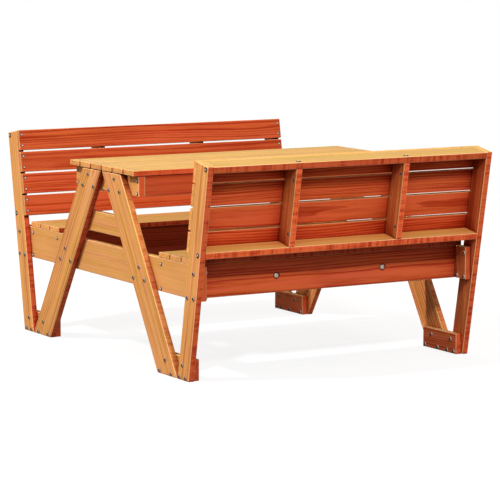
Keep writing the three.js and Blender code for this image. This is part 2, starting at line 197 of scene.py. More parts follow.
class SlatSettings(bpy.types.PropertyGroup):
    """The slats of the tabletop, the seats and the backrests."""

    table_gap: FloatProperty(
        name="Tabletop gap", description="Gap between two tabletop slats",
        unit="LENGTH", min=0, max=0.03, default=0.007, precision=4)
    seat_gap: FloatProperty(
        name="Seat gap", description="Gap between two seat slats",
        unit="LENGTH", min=0, max=0.03, default=0.0045, precision=4)
    back_gap: FloatProperty(
        name="Backrest gap", description="Gap between two backrest slats",
        unit="LENGTH", min=0, max=0.03, default=0.005, precision=4)
    thickness: FloatProperty(
        name="Thickness", description="Thickness of a slat",
        unit="LENGTH", min=0.005, max=0.03, default=0.014, precision=4)
    edge_radius: FloatProperty(
        name="Edge radius", description="Rounding of a slat's edges",
        unit="LENGTH", min=0.0003, max=0.006, default=0.0012, precision=4)


class FastenerSettings(bpy.types.PropertyGroup):
    """The bolts and screws."""

    bolt_head: FloatProperty(
        name="Bolt head radius", description="Radius of a frame bolt's domed head",
        unit="LENGTH", min=0.002, max=0.012, default=0.0055, precision=4)
    bolt_rise: FloatProperty(
        name="Bolt head height", description="How far a frame bolt's head stands out",
        unit="LENGTH", min=0.0005, max=0.008, default=0.003, precision=4)
    bolt_shank: FloatProperty(
        name="Bolt shank radius", description="Radius of a frame bolt's shank",
        unit="LENGTH", min=0.001, max=0.006, default=0.003, precision=4)
    screw_head: FloatProperty(
        name="Screw head radius", description="Radius of a screw's head",
        unit="LENGTH", min=0.002, max=0.01, default=0.004, precision=4)
    button_head: FloatProperty(
        name="Button head radius", description="Radius of the backrest frames' heads",
        unit="LENGTH", min=0.002, max=0.012, default=0.0068, precision=4)
    barrel_nut: FloatProperty(
        name="Barrel nut radius", description="Radius of the nuts in the dividers",
        unit="LENGTH", min=0.002, max=0.012, default=0.005, precision=4)
    screw_shank: FloatProperty(
        name="Screw shank radius", description="Radius of a screw under its head",
        unit="LENGTH", min=0.001, max=0.005, default=0.002, precision=4)
    steel: FloatVectorProperty(
        name="Steel", description="Colour of the plated steel",
        subtype="COLOR", size=3, min=0, max=1, default=(0.84, 0.71, 0.61))


class StageSettings(bpy.types.PropertyGroup):
    """The studio round the table."""

    floor: FloatVectorProperty(
        name="Floor", description="Colour of the floor",
        subtype="COLOR", size=3, min=0, max=1, default=(0.9, 0.9, 0.9))
    ambient: FloatProperty(
        name="Ambient", description="Strength of the even light from all round",
        min=0, max=3, default=0.7)
    key: FloatProperty(
        name="Key light", description="Power of the soft light from the upper left",
        unit="POWER", min=0, max=5000, default=350)
    fill: FloatProperty(
        name="Fill light", description="Power of the soft light from the front",
        unit="POWER", min=0, max=5000, default=195)
    rear: FloatProperty(
        name="Rear light", description="Power of the soft light from behind",
        unit="POWER", min=0, max=5000, default=130)
    lens: FloatProperty(
        name="Lens", description="Focal length of the camera",
        unit="CAMERA", min=20, max=400, default=182.9)


def maths(operation, swapped=False):
    """An operator that adds a Math node for its sum."""
    def apply(self, other=None):
        terms = (other, self) if swapped else (self, other)
        inputs = {place: term for place, term in enumerate(terms) if term is not None}
        return self.node("ShaderNodeMath", inputs, operation=operation)
    return apply


class Wire:
    """A socket of a node tree. Sums written with it add the nodes that work them out."""

    def __init__(self, tree, socket=None):
        self.tree = tree
        self.socket = socket

    def node(self, kind, inputs=None, output=0, **settings):
        """Adds a node of any type with its settings and its inputs' values or wires, and gives one output."""
        made = self.tree.nodes.new(kind)
        for name, value in settings.items():
            setattr(made, name, value)
        self.feed(made, inputs or {})
        return Wire(self.tree, made.outputs[output] if len(made.outputs) else None)

    def feed(self, made, inputs):
        """Gives a node's inputs their values or wires."""
        for key, value in inputs.items():
            if isinstance(value, Wire):
                self.tree.links.new(value.socket, made.inputs[key])
            elif value is not None:
                made.inputs[key].default_value = value

    def other(self, name):
        """Another output of this wire's node."""
        return Wire(self.tree, self.socket.node.outputs[name])

    __add__, __radd__ = maths("ADD"), maths("ADD", True)
    __sub__, __rsub__ = maths("SUBTRACT"), maths("SUBTRACT", True)
    __mul__, __rmul__ = maths("MULTIPLY"), maths("MULTIPLY", True)
    __truediv__, __rtruediv__ = maths("DIVIDE"), maths("DIVIDE", True)
    __pow__, __rpow__ = maths("POWER"), maths("POWER", True)
    __gt__, __lt__ = maths("GREATER_THAN"), maths("LESS_THAN")
    __abs__ = maths("ABSOLUTE")
    fraction, rounded = maths("FRACT"), maths("ROUND")
    root, cosine, sine, sign = maths("SQRT"), maths("COSINE"), maths("SINE"), maths("SIGN")
    smaller, larger = maths("MINIMUM"), maths("MAXIMUM")

    def __neg__(self):
        return self * -1.0

    def split(self):
        """The three parts of a vector."""
        parts = self.node("ShaderNodeSeparateXYZ", {"Vector": self})
        return [parts.other(axis) for axis in "XYZ"]

    def join(self, x, y, z):
        """A vector from three numbers or wires."""
        return self.node("ShaderNodeCombineXYZ", {"X": x, "Y": y, "Z": z})

    def ramp(self, low, high):
        """This number taken smoothly from nought at low to one at high."""
        return self.node("ShaderNodeMapRange", {"Value": self, "From Min": low, "From Max": high},
                         interpolation_type="SMOOTHSTEP")

    def blend(self, first, second):
        """A colour from first to second as this number goes from nought to one."""
        return self.node("ShaderNodeMix", {0: self, 6: colour(first), 7: colour(second)}, 2, data_type="RGBA")

    def times(self, change):
        """This colour multiplied by another."""
        return self.node("ShaderNodeMix", {0: 1.0, 6: self, 7: colour(change)}, 2, data_type="RGBA",
                         blend_type="MULTIPLY")

    def store(self, name, value, kind="FLOAT", domain="POINT"):
        """This geometry with a named attribute that holds the value."""
        return self.node("GeometryNodeStoreNamedAttribute", {"Geometry": self, "Name": name, "Value": value},
                         data_type=kind, domain=domain)

    def vector(self, operation, other=None, scale=None):
        """What a Vector Math node makes of this vector or colour."""
        return self.node("ShaderNodeVectorMath", {0: self, 1: other, "Scale": scale}, operation=operation)

    def pick(self, values):
        """The value whose place in the list is this number."""
        chosen = self.tree.nodes.new("GeometryNodeIndexSwitch")
        chosen.data_type = "FLOAT"
        while len(chosen.index_switch_items) < len(values):
            chosen.index_switch_items.new()
        self.feed(chosen, dict(enumerate([self, *values])))
        return Wire(self.tree, chosen.outputs[0])


def colour(value):
    """A colour with its alpha, or a wire as it is."""
    return value if isinstance(value, Wire) else (*value[:3], 1.0)


def new_material(name):
    """An empty material, with a wire to draw it from."""
    material = bpy.data.materials.new(name)
    material.use_nodes = True
    material.node_tree.nodes.clear()
    return material, Wire(material.node_tree)


def finish_material(material, start, shown, sockets):
    """Puts a Principled shader with these sockets on a material's output."""
    shader = start.node("ShaderNodeBsdfPrincipled", {**sockets, "Base Color": shown})
    start.node("ShaderNodeOutputMaterial", {"Surface": shader})
    return material


def noise(start, vector, scale, detail=2.0, roughness=0.5):
    """Smooth noise from nought to one."""
    return start.node("ShaderNodeTexNoise", {"Vector": vector, "Scale": scale, "Detail": detail,
                                             "Roughness": roughness}, 0, noise_dimensions="3D")


def board_turn(grain, thickness):
    """How a board lies: its own X along the grain and its own Z through its thickness."""
    across = thickness.cross(grain)
    return Matrix((grain, across, thickness)).transposed().to_euler()


def drawn_out(start, board, shift, lengthwise, crosswise, detail=2.0, roughness=0.5):
    """Noise stretched along a board's grain, and shifted along it by the board's own chance."""
    along, across, through = board
    place = start.join(along * lengthwise + shift, across * crosswise, through * crosswise)
    return noise(start, place, 1.0, detail, roughness)


def openness(start, reach, samples=5):
    """How much of the sky a place sees past what stands within reach, from nought to one."""
    return start.node("ShaderNodeAmbientOcclusion", {"Distance": reach}, "AO", samples=samples)


def ring_lines(start, board, seed, chance_across, chance_under, spacing):
    """The dark late wood of a log's rings, whose middle lies under the board and wanders along its length."""
    _, across, through = board
    wander = drawn_out(start, board, seed * 3.7, 1.3, 2.0, 1.0)
    ripple = drawn_out(start, board, seed * 5.3, 4.0, 34.0)
    pith_across = (chance_across - 0.5) * 0.16 + (wander - 0.5) * 0.035
    pith_under = 0.05 + chance_under * 0.06
    radius = ((across - pith_across) ** 2.0 + (through + pith_under) ** 2.0).root()
    drift = noise(start, start.join(radius * 90.0 + seed, 0.0, 0.0), 1.0)
    phase = (radius / spacing + ripple * 0.9 + drift * 2.6).fraction()
    return phase.ramp(0.35, 0.92) * (1.0 - phase.ramp(0.94, 1.0))


def wood(name, turn, centre=None, seed=0.0, bold=1.0, inward=0.0, ruddy=0.0, flame=1.0, sheen=0.12,
         tint=1.0):
    """Stained softwood cut from a log. A board with a centre reads object coordinates, turned to lie along
    it. One without reads the place and number that its slats carry. Bold deepens the lines of the rings.
    Inward and ruddy are the least share of russet, the painted shade tone, on the faces that look in and on
    all faces. Flame is the strength of the bars on the narrow sides, sheen is how much it reflects, and the
    last factor is how light the board is, a painted light or shade set board by board."""
    settings = bpy.context.scene.picnic_wood
    material, start = new_material(name)
    shape = start.node("ShaderNodeTexCoord", output="Object")
    facing = shape.other("Normal")
    if centre is None:
        place = start.node("ShaderNodeAttribute", output="Vector", attribute_name="board_place")
        seed = start.node("ShaderNodeAttribute", output="Fac", attribute_name="board_number") * 7.31 + seed
    else:
        place = start.node("ShaderNodeMapping", {"Vector": shape, "Location": centre, "Rotation": turn},
                           vector_type="TEXTURE")
    board = place.split()
    luck = start.node("ShaderNodeTexWhiteNoise", {"W": seed}, "Color", noise_dimensions="1D")
    luck_across, luck_under, luck_shade = luck.split()
    streaked = 0.3 + 0.7 * bold
    bold = (0.7 + 0.8 * luck.other("Value")) * bold

    # Rings, fibres, streaks, the bars on the narrow sides and cloudy patches where the stain took differently
    dark_line = ring_lines(start, board, seed, luck_across, luck_under, settings.ring_spacing)
    fibre = drawn_out(start, board, seed, 26.0, 620.0, roughness=0.6)
    streak = drawn_out(start, board, seed * 2.1, 3.2, 80.0, 3.0, 0.6)
    bars = drawn_out(start, board, seed, 95.0, 9.0, roughness=0.6)
    cloud = drawn_out(start, board, seed * 1.7, 5.0, 11.0)
    tone = drawn_out(start, board, seed * 4.1, 2.4, 42.0)
    hue = drawn_out(start, board, seed * 6.1, 2.2, 130.0)

    # Painted light and shade: the stain is honey on faces that look up, amber at the ends and russet along
    # the sides and in the gaps, a redder tone where less light falls
    face_x, face_y, face_z = facing.split()
    share_x, share_y = face_x * face_x, face_y * face_y
    here_x, _, here_z = shape.split()
    corner_sky = openness(start, CORNER_REACH, 6)
    russet_share = (share_y - face_z.larger(0.0) * 0.5).ramp(0.0, 0.9)
    looks_in = share_x * (here_x * face_x < 0.0)
    in_gap = (1.0 - corner_sky) * face_z.larger(0.0)
    russet_share = russet_share.larger(looks_in * inward).larger(in_gap * 0.6).larger(ruddy)
    stain = russet_share.blend(share_x.blend(settings.honey, settings.amber), settings.russet)

    # Streaks of other hues, then the deeper lines
    stain = (tone.ramp(0.42, 0.72) * (0.15 + 0.4 * russet_share)).blend(stain, stain.times(OCHRE))
    for share, change in ((hue.ramp(0.48, 0.68), OLIVE), ((1.0 - hue).ramp(0.48, 0.68), PINK)):
        stain = (share * (streaked - 0.4 * russet_share)).blend(stain, stain.times(change))
    own = start.node("ShaderNodeMapping", {"Vector": facing, "Rotation": turn}, vector_type="TEXTURE")
    own_x, own_y, own_z = own.split()
    lines = (dark_line * settings.late_wood * bold + (streak - 0.5) * (0.8 + 1.6 * bold)
             + (fibre - 0.5) * 0.75 + (bars - 0.5) * (own_y * own_y) * (6.0 * flame))
    lines = lines * (0.9 - 0.6 * face_z * face_z)
    shown = lines.blend(stain, stain.times(russet_share.blend(HONEY_LINES, RUSSET_LINES)))
    # The board's last factor is a painted light or shade, set board by board
    shade = (1.0 + (cloud - 0.5) * 0.25 + (luck_shade - 0.5) * 0.12) * tint
    shown = shown.vector("SCALE", scale=shade)

    # Painted shade: corners, sheltered faces and the depths of the bays are darkened and reddened by how
    # little sky they see
    floor_near = (1.0 - here_z.ramp(0.0, 0.1)) * 0.4
    near_sky = corner_sky.larger(face_z * 0.78) + floor_near
    shown = near_sky.ramp(0.16, 0.9).blend(shown.times(settings.shaded), shown)
    bay_sky = openness(start, BAY_REACH).larger(face_z * 0.4) + floor_near
    shown = bay_sky.ramp(0.12, 0.42).blend(shown.times(DEEP_BAY_SHADE), shown)

    # The eased edges are painted paler, partly as rubbed wear and partly as a painted highlight
    flat = abs(own_x).larger(abs(own_y)).larger(abs(own_z))
    edge = (1.0 - flat).ramp(0.02, 0.2) * settings.edge_wear_and_highlight * (0.6 + cloud * 0.8)
    shown = edge.blend(shown, RUBBED_EDGE_HIGHLIGHT)

    # Painted shade darkens the seams where one board meets another
    crack = openness(start, SEAM_REACH)
    if centre is None:
        crack = crack.larger(face_z)
    shown = crack.ramp(0.3, 0.8).blend(shown.times(SEAM_SHADE), shown)

    relief = (streak - 0.5) * 0.5 + fibre * 0.35 - dark_line * 0.3
    bump = start.node("ShaderNodeBump", {"Strength": 0.35, "Distance": 0.0006, "Height": relief})
    return finish_material(material, start, shown, {
        "Roughness": 0.5 + (fibre - 0.5) * 0.25 + dark_line * 0.08,
        "Specular IOR Level": sheen,
        "Normal": bump,
    })


def steel(name, centre=None):
    """Zinc-plated steel, a little brushed and dulled. A bolt with a centre gets painted shade round its head
    and in its socket by its distance from there, and the others get the painted shade that their points
    carry."""
    settings = bpy.context.scene.picnic_fasteners
    material, start = new_material(name)
    place = start.node("ShaderNodeTexCoord", output="Object")
    spots = noise(start, place, 900.0, 3.0, 0.6)
    scuffs = noise(start, place, 260.0)
    # Painted light: the seat bolts' steel is made brighter
    bright = 1.0 if centre is None else 1.2
    new = tuple(bright * part for part in settings.steel)
    shown = (spots * 0.7 + scuffs * 0.3).ramp(0.3, 0.75).blend(tuple(0.72 * part for part in new), new)
    if centre is None:
        painted_shade = start.node("ShaderNodeAttribute", output="Fac", attribute_name="painted_shade")
    else:
        # Painted shade: a dark dot in the socket and a dark ring round the head
        x, _, z = place.split()
        away = ((x - centre.x) ** 2.0 + (z - centre.z) ** 2.0).root()
        painted_shade = (1.0 - away.ramp(0.0010, 0.0020)).larger(away.ramp(0.0060, 0.0072))
    shown = painted_shade.blend(shown, RECESS_SHADE)
    bump = start.node("ShaderNodeBump", {"Strength": 0.2, "Distance": 0.0001, "Height": spots})
    return finish_material(material, start, shown, {
        "Metallic": 0.3 - painted_shade * 0.3,
        "Roughness": 0.42 + scuffs * 0.2 + painted_shade * 0.3,
        "Normal": bump,
    })


def new_tree(name, inputs):
    """A geometry tree with named inputs, and wires to each of them."""
    tree = bpy.data.node_groups.new(name, "GeometryNodeTree")
    tree.interface.new_socket("Geometry", in_out="OUTPUT", socket_type="NodeSocketGeometry")
    for label, kind in inputs.items():
        tree.interface.new_socket(label, in_out="INPUT", socket_type=f"NodeSocket{kind}")
    start = Wire(tree)
    entry = start.node("NodeGroupInput")
    return tree, start, {label: entry.other(label) for label in inputs}


def end_tree(start, shape, material):
    """The end of every tree: real geometry with its material on."""
    real = start.node("GeometryNodeRealizeInstances", {"Geometry": shape})
    shown = start.node("GeometryNodeSetMaterial", {"Geometry": real, "Material": material})
    start.node("NodeGroupOutput", {"Geometry": shown})


def grown(name, tree, values, mesh=None):
    """A plain mesh piece that a tree makes from these values, with the modifier gone."""
    piece = bpy.data.objects.new(name, mesh or bpy.data.meshes.new(name))
    bpy.context.scene.collection.objects.link(piece)
    modifier = piece.modifiers.new(name, "NODES")
    modifier.node_group = tree
    for item in tree.interface.items_tree:
        if item.in_out == "INPUT" and item.name in values:
            modifier[item.identifier] = values[item.name]
    depsgraph = bpy.context.evaluated_depsgraph_get()
    made = bpy.data.meshes.new_from_object(piece.evaluated_get(depsgraph), preserve_all_data_layers=True,
                                           depsgraph=depsgraph)
    piece.modifiers.clear()
    if not made.polygons:
        raise RuntimeError(f"{name} came out empty")
    shape = bmesh.new()
    shape.from_mesh(made)
    bmesh.ops.recalc_face_normals(shape, faces=shape.faces)
    shape.to_mesh(made)
    shape.free()
    made.name = name
    piece.data = made
    return piece


def slat_tree():
    """Rounded slats side by side. Each carries its number and, at every point, its own place on the board."""
    tree, start, given = new_tree("Row of slats", {
        "Count": "Int", "Length": "Float", "Width": "Float", "Thickness": "Float", "Gap": "Float",
        "Edge Radius": "Float", "Middle": "Vector", "Turn": "Vector", "Material": "Material",
    })
    block = start.node("GeometryNodeMeshCube", {"Size": (2.0, 2.0, 2.0), "Vertices X": 6, "Vertices Y": 6,
                                                "Vertices Z": 6})
    spot = start.node("GeometryNodeInputPosition")
    radius = given["Edge Radius"]
    outer, core = [], []
    for part, size in zip(spot.split(), ("Length", "Width", "Thickness")):
        half = given[size] * 0.5
        inset = half - (1.0 - abs(part)) * radius * 1.25
        flat = half - radius
        outer.append(part.sign() * inset)
        core.append(part.sign() * inset.smaller(flat))
    outer, core = start.join(*outer), start.join(*core)
    away = outer.vector("SUBTRACT", core).vector("NORMALIZE").vector("SCALE", scale=radius)
    rounded = core.vector("ADD", away)
    board = start.node("GeometryNodeSetPosition", {"Geometry": block, "Position": rounded})
    board = board.store("board_place", start.node("GeometryNodeInputPosition"), "FLOAT_VECTOR")
    pitch = given["Width"] + given["Gap"]
    row = start.node("GeometryNodeMeshLine", {
        "Count": given["Count"],
        "Start Location": start.join(0.0, (given["Count"] - 1.0) * pitch * -0.5, 0.0),
        "Offset": start.join(0.0, pitch, 0.0),
    }, mode="OFFSET")
    boards = start.node("GeometryNodeInstanceOnPoints", {"Points": row, "Instance": board})
    boards = boards.store("board_number", start.node("GeometryNodeInputIndex"), domain="INSTANCE")
    boards = start.node("GeometryNodeTransform", {"Geometry": boards, "Translation": given["Middle"],
                                                  "Rotation": given["Turn"]})
    end_tree(start, boards, given["Material"])
    return tree


def lathe(start, rings):
    """A closed turned shape about Z. A ring is its radius, its height, how far its six lobes stand out and
    how much painted shade it carries, in its recess and round its rim."""
    sides = 12
    sheet = start.node("GeometryNodeMeshGrid", {"Size X": 1.0, "Size Y": 1.0, "Vertices X": sides + 1,
                                                "Vertices Y": len(rings)})
    spot_x, spot_y, _ = start.node("GeometryNodeInputPosition").split()
    ring = ((spot_y + 0.5) * float(len(rings) - 1)).rounded()
    angle = (spot_x + 0.5) * math.tau
    radii, heights, lobes, painted_shade = ([row[part] for row in rings] for part in range(4))
    radius = ring.pick(radii) * (1.0 + ring.pick(lobes) * (angle * 6.0).cosine())
    turned = start.join(radius * angle.cosine(), radius * angle.sine(), ring.pick(heights))
    shape = sheet.store("painted_shade", ring.pick(painted_shade))
    shape = start.node("GeometryNodeSetPosition", {"Geometry": shape, "Position": turned})
    return start.node("GeometryNodeMergeByDistance", {"Geometry": shape, "Distance": 1e-6})


def set_in_place(start, points, shape):
    """A fastener at every point, with its head the way that the point says and turned by chance."""
    heading = start.node("GeometryNodeInputNamedAttribute", {"Name": "heading"}, data_type="FLOAT_VECTOR")
    turn = start.node("FunctionNodeAlignRotationToVector", {"Vector": heading}, axis="Z")
    chance = start.node("FunctionNodeRandomValue", {2: 0.0, 3: math.tau, "Seed": 11}, 1, data_type="FLOAT")
    spin = start.node("FunctionNodeAxisAngleToRotation", {"Axis": (0.0, 0.0, 1.0), "Angle": chance})
    turn = start.node("FunctionNodeRotateRotation", {0: turn, 1: spin}, rotation_space="LOCAL")
    return start.node("GeometryNodeInstanceOnPoints", {"Points": points, "Instance": shape, "Rotation": turn})


def fastener_tree(name, sizes, rings_of):
    """A tree that sets one turned fastener at each point."""
    tree, start, given = new_tree(name, {"Geometry": "Geometry", **sizes, "Material": "Material"})
    shape = lathe(start, rings_of(given))
    shape = start.node("GeometryNodeSetShadeSmooth", {"Geometry": shape, "Shade Smooth": True})
    end_tree(start, set_in_place(start, given["Geometry"], shape), given["Material"])
    return tree


def bolt_rings(given):
    """From the head's star recess round the dome, down the shank and over the nut to its own recess."""
    head, rise = given["Head Radius"], given["Head Height"]
    shank, grip = given["Shank Radius"], given["Grip"]
    return [
        (0.0, rise * -0.1, 0.0, 1.0),
        (head * 0.62, rise * 0.1, 0.10, 1.0),
        (head * 0.70, rise * 0.95, 0.06, 0.9),
        (head * 0.78, rise * 0.9, 0.0, 0.55),
        (head * 0.96, rise * 0.4, 0.0, 0.65),
        (head * 1.04, 0.0, 0.0, 1.0),
        (shank, 0.0, 0.0, 1.0),
        (shank, -grip, 0.0, 1.0),
        (head * 1.04, -grip, 0.0, 1.0),
        (head * 0.96, -grip - rise * 0.4, 0.0, 0.2),
        (head * 0.74, -grip - rise * 0.9, 0.0, 0.1),
        (head * 0.66, -grip - rise * 0.95, 0.0, 0.9),
        (head * 0.58, -grip - rise * 0.3, 0.0, 1.0),
        (0.0, -grip - rise * 0.2, 0.0, 1.0),
    ]


def domed_screw_rings(given):
    """From the recess round a low dome and down to the point."""
    head, rise = given["Head Radius"], given["Head Height"]
    unshaded = head * given["Clean Share"]
    return [
        (0.0, rise * 0.1, 0.0, 1.0),
        (head * 0.18, rise * 0.2, 0.14, 1.0),
        (head * 0.24, rise * 1.0, 0.10, 0.3),
        (head * 0.30, rise * 1.0, 0.0, 0.0),
        (unshaded, rise * 0.75, 0.0, 0.0),
        (unshaded + head * 0.1, rise * 0.5, 0.0, 1.0),
        (head * 1.08, rise * 0.06, 0.0, 1.0),
        (head * 1.08, 0.0, 0.0, 1.0),
        (given["Shank Radius"], 0.0, 0.0, 1.0),
        (0.0, -given["Length"], 0.0, 1.0),
    ]


def sunk_screw_rings(given):
    """From the recess over a flat head and its cone down to the point."""
    head, depth = given["Head Radius"], given["Head Height"]
    return [
        (0.0, depth * -0.4, 0.0, 1.0),
        (head * 0.18, depth * -0.4, 0.16, 1.0),
        (head * 0.22, depth * 0.20, 0.10, 0.0),
        (head * 0.58, depth * 0.16, 0.0, 0.0),
        (head * 0.72, depth * 0.08, 0.0, 0.9),
        (head * 1.16, depth * 0.03, 0.0, 1.0),
        (head * 1.16, depth * -0.04, 0.0, 1.0),
        (given["Shank Radius"], -depth, 0.0, 1.0),
        (0.0, -given["Length"], 0.0, 1.0),
    ]


def barrel_nut_rings(given):
    """From the slot over a flat face and down the barrel."""
    head, depth = given["Head Radius"], given["Length"]
    return [
        (0.0, head * -0.3, 0.0, 1.0),
        (head * 0.30, head * -0.3, 0.14, 1.0),
        (head * 0.38, head * 0.06, 0.10, 1.0),
        (head * 0.66, head * 0.06, 0.0, 0.8),
        (head * 0.82, head * 0.05, 0.0, 0.35),
        (head * 0.96, head * 0.02, 0.0, 0.5),
        (head * 1.0, head * -0.04, 0.0, 1.0),
        (head * 1.0, -depth, 0.0, 1.0),
        (0.0, -depth, 0.0, 1.0),
    ]


HEAD_INPUTS = {"Head Radius": "Float", "Head Height": "Float", "Shank Radius": "Float"}
SCREW_INPUTS = {**HEAD_INPUTS, "Length": "Float", "Clean Share": "Float"}
BOLT_INPUTS = {**HEAD_INPUTS, "Grip": "Float"}


def marked_points(name, seats):
    """A mesh of bare points, each with the way that its fastener's head looks."""
    places, ways = zip(*seats)
    mesh = bpy.data.meshes.new(name)
    mesh.from_pydata(places, [], [])
    heading = mesh.attributes.new("heading", "FLOAT_VECTOR", "POINT")
    heading.data.foreach_set("vector", [part for way in ways for part in way])
    return mesh


def frame_bolt_seats():
    """Threes of bolts where the outer boards of an end cross the inner ones. A three is its upper bolt's
    place, the place between its lower two, and how far each of those stands from there."""
    leg_rise, leg_spread = 0.0325, 0.031
    foot_shift, foot_spread = -0.0075, 0.0155
    post_shift, post_spread = 0.005, 0.0165
    for end in ENDS.values():
        for side in SIDES.values():
            threes = []
            for upper, shift in ((TABLE_UNDERSIDE - UPPER_INSET, 0.0),
                                 (SEAT_UNDERSIDE - 2 * UPPER_INSET, 0.003),
                                 (NARROW_BOARD - UPPER_INSET, 0.006)):
                across = leg_middle(upper - leg_rise / 2) + shift
                threes.append(((across, upper), (across, upper - leg_rise), leg_spread))
            foot = post_middle(NARROW_BOARD / 2) + foot_shift
            threes.append(((foot, NARROW_BOARD - UPPER_INSET), (foot, LOWER_INSET), foot_spread))
            upper, lower = SEAT_UNDERSIDE - UPPER_INSET, beam_low.z + LOWER_INSET
            threes.append(((post_middle(upper) + post_shift, upper), (post_middle(lower), lower),
                           post_spread))
            for high, low, apart in threes:
                for y, z in (high, (low[0] - apart, low[1]), (low[0] + apart, low[1])):
                    yield Vector((end * END_FACE, side * y, z)), Vector((end, 0, 0))


def middle(*nodes):
    """The middle of the box round these boards."""
    boxes = [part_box(node) for node in nodes]
    low = Vector(min(box[0][axis] for box in boxes) for axis in range(3))
    high = Vector(max(box[1][axis] for box in boxes) for axis in range(3))
    return (low + high) / 2


def slat_screw_seats():
    """Two screws at each end of every slat, in the faces that are sat on, leaned on and eaten from."""
    carrier = (SEAM_FACE + INNER_FACE) / 2
    flat = [(f"tabletop_slat_{i}", TABLE_TOP) for i in range(1, 7)]
    flat += [(f"seat_slat_{side}_{i}", SEAT_TOP) for side in SIDES for i in range(1, 4)]
    for node, top in flat:
        for end in ENDS.values():
            for step in SCREW_STEPS:
                yield Vector((end * carrier, middle(node).y + step, top)), UP
    post = (END_FACE + SEAM_FACE) / 2
    for side in SIDES.values():
        for i in range(1, 5):
            along = along_slope(f"backrest_slat_back_{i}")
            for end in ENDS.values():
                for step in SCREW_STEPS:
                    yield on_slope(side, end * post, BACK_SLAT_DEPTH, along + step), -slope_out(side)


def barrel_nut_seats():
    """Barrel nuts in the dividers' left sides, on the bolts that come through the rails."""
    setback = 0.032
    for side in SIDES.values():
        for end in ENDS:
            divider = f"backrest_divider_back_{end}"
            low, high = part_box(divider)
            length = (high.y - low.y - NARROW_BOARD * math.cos(POST_LEAN)) / math.sin(POST_LEAN)
            for reach in (setback - length / 2, length / 2 - setback):
                yield on_slope(side, low.x, BACK_BOLT_DEPTH, along_slope(divider) + reach), -ALONG


def backrest_bolt_seats():
    """Bolts through the posts into the rails' ends, and through the rails into the dividers."""
    rails = [(along_slope(f"backrest_rail_back_{rail}"), way) for rail, way in (("top", 1), ("bottom", -1))]
    half_rail = 0.009
    for end_name, end in ENDS.items():
        for side_name, side in SIDES.items():
            divider = middle(f"backrest_divider_{side_name}_{end_name}").x
            for along, way in rails:
                yield on_slope(side, end * END_FACE, BACK_BOLT_DEPTH, along), Vector((end, 0, 0))
                yield on_slope(side, divider, BACK_BOLT_DEPTH, along + way * half_rail), slope_up(side) * way


def end_screw_seats():
    """Screws through the level boards into the aprons' ends and through the inner aprons into the braces."""
    bar_inset, brace_steps = 0.015, (-0.028, 0.028)
    for end_name, end in ENDS.items():
        for side_name, side in SIDES.items():
            joined = [(f"table_apron_{side_name}", TABLE_UNDERSIDE - bar_inset, bar_low.z + LOWER_INSET)]
            for place in ("outer", "inner"):
                joined.append((f"seat_apron_{side_name}_{place}", SEAT_UNDERSIDE - UPPER_INSET,
                               beam_low.z + LOWER_INSET))
            for node, upper, lower in joined:
                for z in (upper, lower):
                    yield Vector((end * SEAM_FACE, middle(node).y, z)), Vector((end, 0, 0))
            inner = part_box(f"seat_apron_{side_name}_inner")
            face = inner[0].y if side > 0 else inner[1].y
            brace = middle(f"seat_brace_{side_name}_{end_name}")
            for step in brace_steps:
                yield Vector((brace.x, face, brace.z + step)), Vector((0, -side, 0))


def tie_screw_seats():
    """Screws from under the table through the ties into the legs."""
    inset, steps = 0.015, (-0.014, 0.014)
    low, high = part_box("leg_tie_left")
    for end in ENDS.values():
        for side in SIDES.values():
            for step in steps:
                z = (low.z + high.z) / 2 + step
                yield Vector((end * INNER_FACE, side * (high.y - inset), z)), Vector((-end, 0, 0))


class Making:
    """What all the operators share."""

    bl_options = {"REGISTER", "UNDO"}

    def execute(self, context):
        self.build(context)
        return {"FINISHED"}


def dress(node, material):
    """Puts a material on every slot of a board of the frame."""
    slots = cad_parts[node].material_slots
    if not slots:
        raise RuntimeError(f"{node} has no material slot")
    for slot in slots:
        slot.material = material


def dress_board(node, grain, thickness, seed, **look):
    """Gives a board of the frame wood whose grain runs along it."""
    turn = board_turn(grain, thickness)
    dress(node, wood(f"{node}_wood", turn, middle(node), seed, **look))


def settle(piece, slot, *replaced):
    """Says what a finished piece rides on and what it stands for. The slot that it is finished with is not
    used.
    """
    if replaced:
        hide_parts(*replaced)
    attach(piece, "root")


class PICNIC_OT_frame_boards(Making, bpy.types.Operator):
    """Finish the legs, posts, crossbeams, crossbars, ties and foot blocks"""

    bl_idname = "picnic_table.frame_boards"
    bl_label = "Frame Boards"

    def build(self, context):
        seeds = itertools.count(1.0)
        for end in ENDS:
            lit = 1.0 if end == "left" else 1.27      # painted light: the right end's boards are made lighter for the key light that reaches them
            for node in (f"crossbeam_{end}", f"crossbar_{end}", f"leg_tie_{end}"):
                dress_board(node, ACROSS, ALONG, next(seeds), bold=0.35, inward=0.6, tint=0.94)
            for side_name, side in SIDES.items():
                lean = Vector((0, -side * math.sin(LEG_LEAN), math.cos(LEG_LEAN)))
                up = slope_up(side)
                place = f"{end}_{side_name}"
                dress_board(f"leg_{place}", lean, ALONG, next(seeds), bold=1.5, inward=0.25, tint=lit)
                dress_board(f"post_{place}", up, ALONG, next(seeds), inward=0.7, tint=0.5 + 0.5 * lit)
                dress_board(f"foot_block_{place}", ACROSS, ALONG, next(seeds), inward=0.8, tint=lit * 0.9)


class PICNIC_OT_aprons(Making, bpy.types.Operator):
    """Finish the aprons under the tabletop and the seats, and the seats' braces"""

    bl_idname = "picnic_table.aprons"
    bl_label = "Aprons and Braces"

    def build(self, context):
        seeds = itertools.count(31.0)
        for side in SIDES:
            # Painted shade and light: the table's aprons and the seats' inner aprons are darkened for the
            # shade under the table, the outer aprons lightened
            for node, tint in ((f"table_apron_{side}", 0.76), (f"seat_apron_{side}_outer", 1.1),
                               (f"seat_apron_{side}_inner", 0.6)):
                dress_board(node, ALONG, ACROSS, next(seeds), bold=1.3, tint=tint)
            for end in ENDS:
                dress_board(f"seat_brace_{side}_{end}", ACROSS, ALONG, next(seeds))


